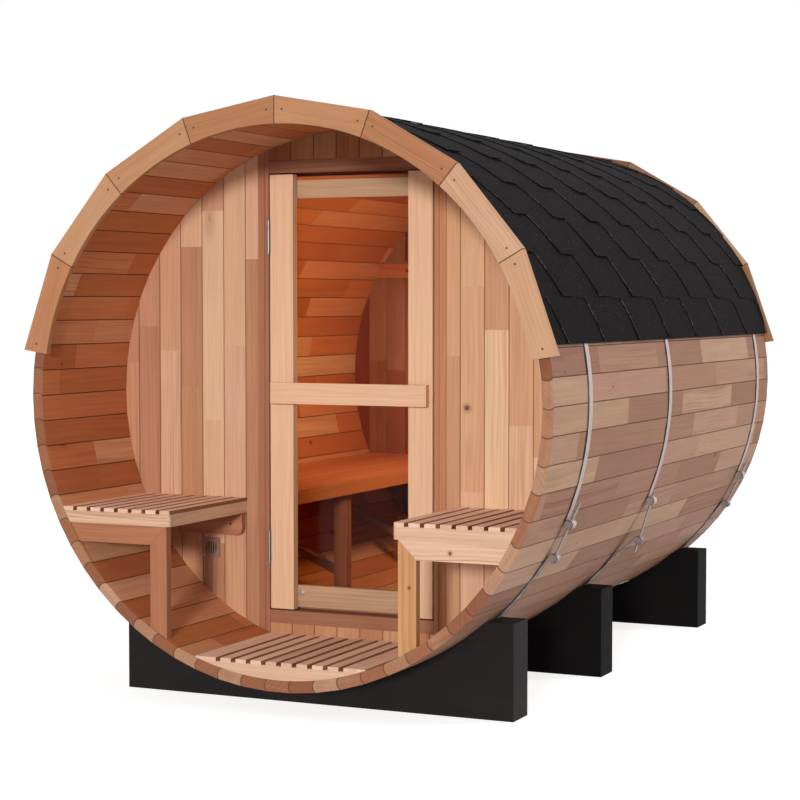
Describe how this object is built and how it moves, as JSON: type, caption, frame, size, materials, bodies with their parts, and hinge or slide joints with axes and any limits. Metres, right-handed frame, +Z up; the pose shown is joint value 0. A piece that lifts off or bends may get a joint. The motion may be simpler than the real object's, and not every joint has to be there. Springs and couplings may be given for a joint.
{
  "type": "barrel sauna",
  "caption": "Round wooden sauna lying on black cradles, with an open slatted porch, a glazed door, steel hoops and a shingled roof.",
  "frame": {"origin": "on the ground under the middle of the barrel, in the plane of the cradles' undersides", "axes": "+X to the right seen from the porch, +Y along the barrel from the porch to the back, +Z up"},
  "size_m": [1.838, 2.48, 1.909],
  "materials": {
    "black_timber": "black stain, faint grain",
    "shingles": "matt mineral granules",
    "strap_steel": "satin",
    "zinc": "bright zinc",
    "hinge_steel": "satin",
    "clear_glass": "clear",
    "red_cedar": "planed, bare",
    "door_cedar": "planed, bare",
    "bench_cedar": "planed, bare",
    "fascia_cedar": "planed, bare",
    "porch_cedar": "planed, bare",
    "vent_plate": "planed, bare",
    "stave_cedar": "planed, bare",
    "wall_cedar": "planed, bare"
  },
  "bodies": {
    "barrel": {"floor_staves": "stave_cedar", "left_wall_staves": "stave_cedar", "right_wall_staves": "stave_cedar", "roof_staves": "stave_cedar", "roof_shingles": "shingles", "front_fascia": "fascia_cedar", "back_fascia": "fascia_cedar", "front_wall_left": "wall_cedar", "front_wall_right": "wall_cedar", "front_wall_head": "wall_cedar", "front_wall_foot": "wall_cedar", "back_wall": "wall_cedar", "back_wall_batten": "wall_cedar", "door_jamb_left": "red_cedar", "door_jamb_right": "red_cedar", "door_head": "red_cedar", "door_sill": "red_cedar", "hinge_jamb_halves": "hinge_steel", "front_hoop": "strap_steel", "middle_hoop": "strap_steel", "rear_hoop": "strap_steel", "hoop_tensioners": "zinc", "front_cradle": "black_timber", "middle_cradle": "black_timber", "rear_cradle": "black_timber", "deck_slats": "porch_cedar", "deck_bearers": "porch_cedar", "left_seat_slats": "porch_cedar", "left_seat_apron": "porch_cedar", "left_seat_frame": "porch_cedar", "right_seat_slats": "porch_cedar", "right_seat_apron": "porch_cedar", "right_seat_frame": "porch_cedar", "seat_cleats": "porch_cedar", "vent_grille": "vent_plate", "bench_top": "bench_cedar", "bench_apron": "bench_cedar", "bench_legs": "bench_cedar"},
    "door": {"hinge_door_halves": "hinge_steel", "door_stile_left": "door_cedar", "door_stile_right": "door_cedar", "door_glass": "clear_glass", "door_back_frame": "door_cedar", "door_bar": "door_cedar"}
  },
  "joints": [
    {"name": "door_hinge", "type": "hinge", "parent": "barrel", "child": "door", "pos_m": [-0.3, -0.7215, 0.978], "axis": [0, 0, -1], "range_deg": [0, 95]}
  ]
}
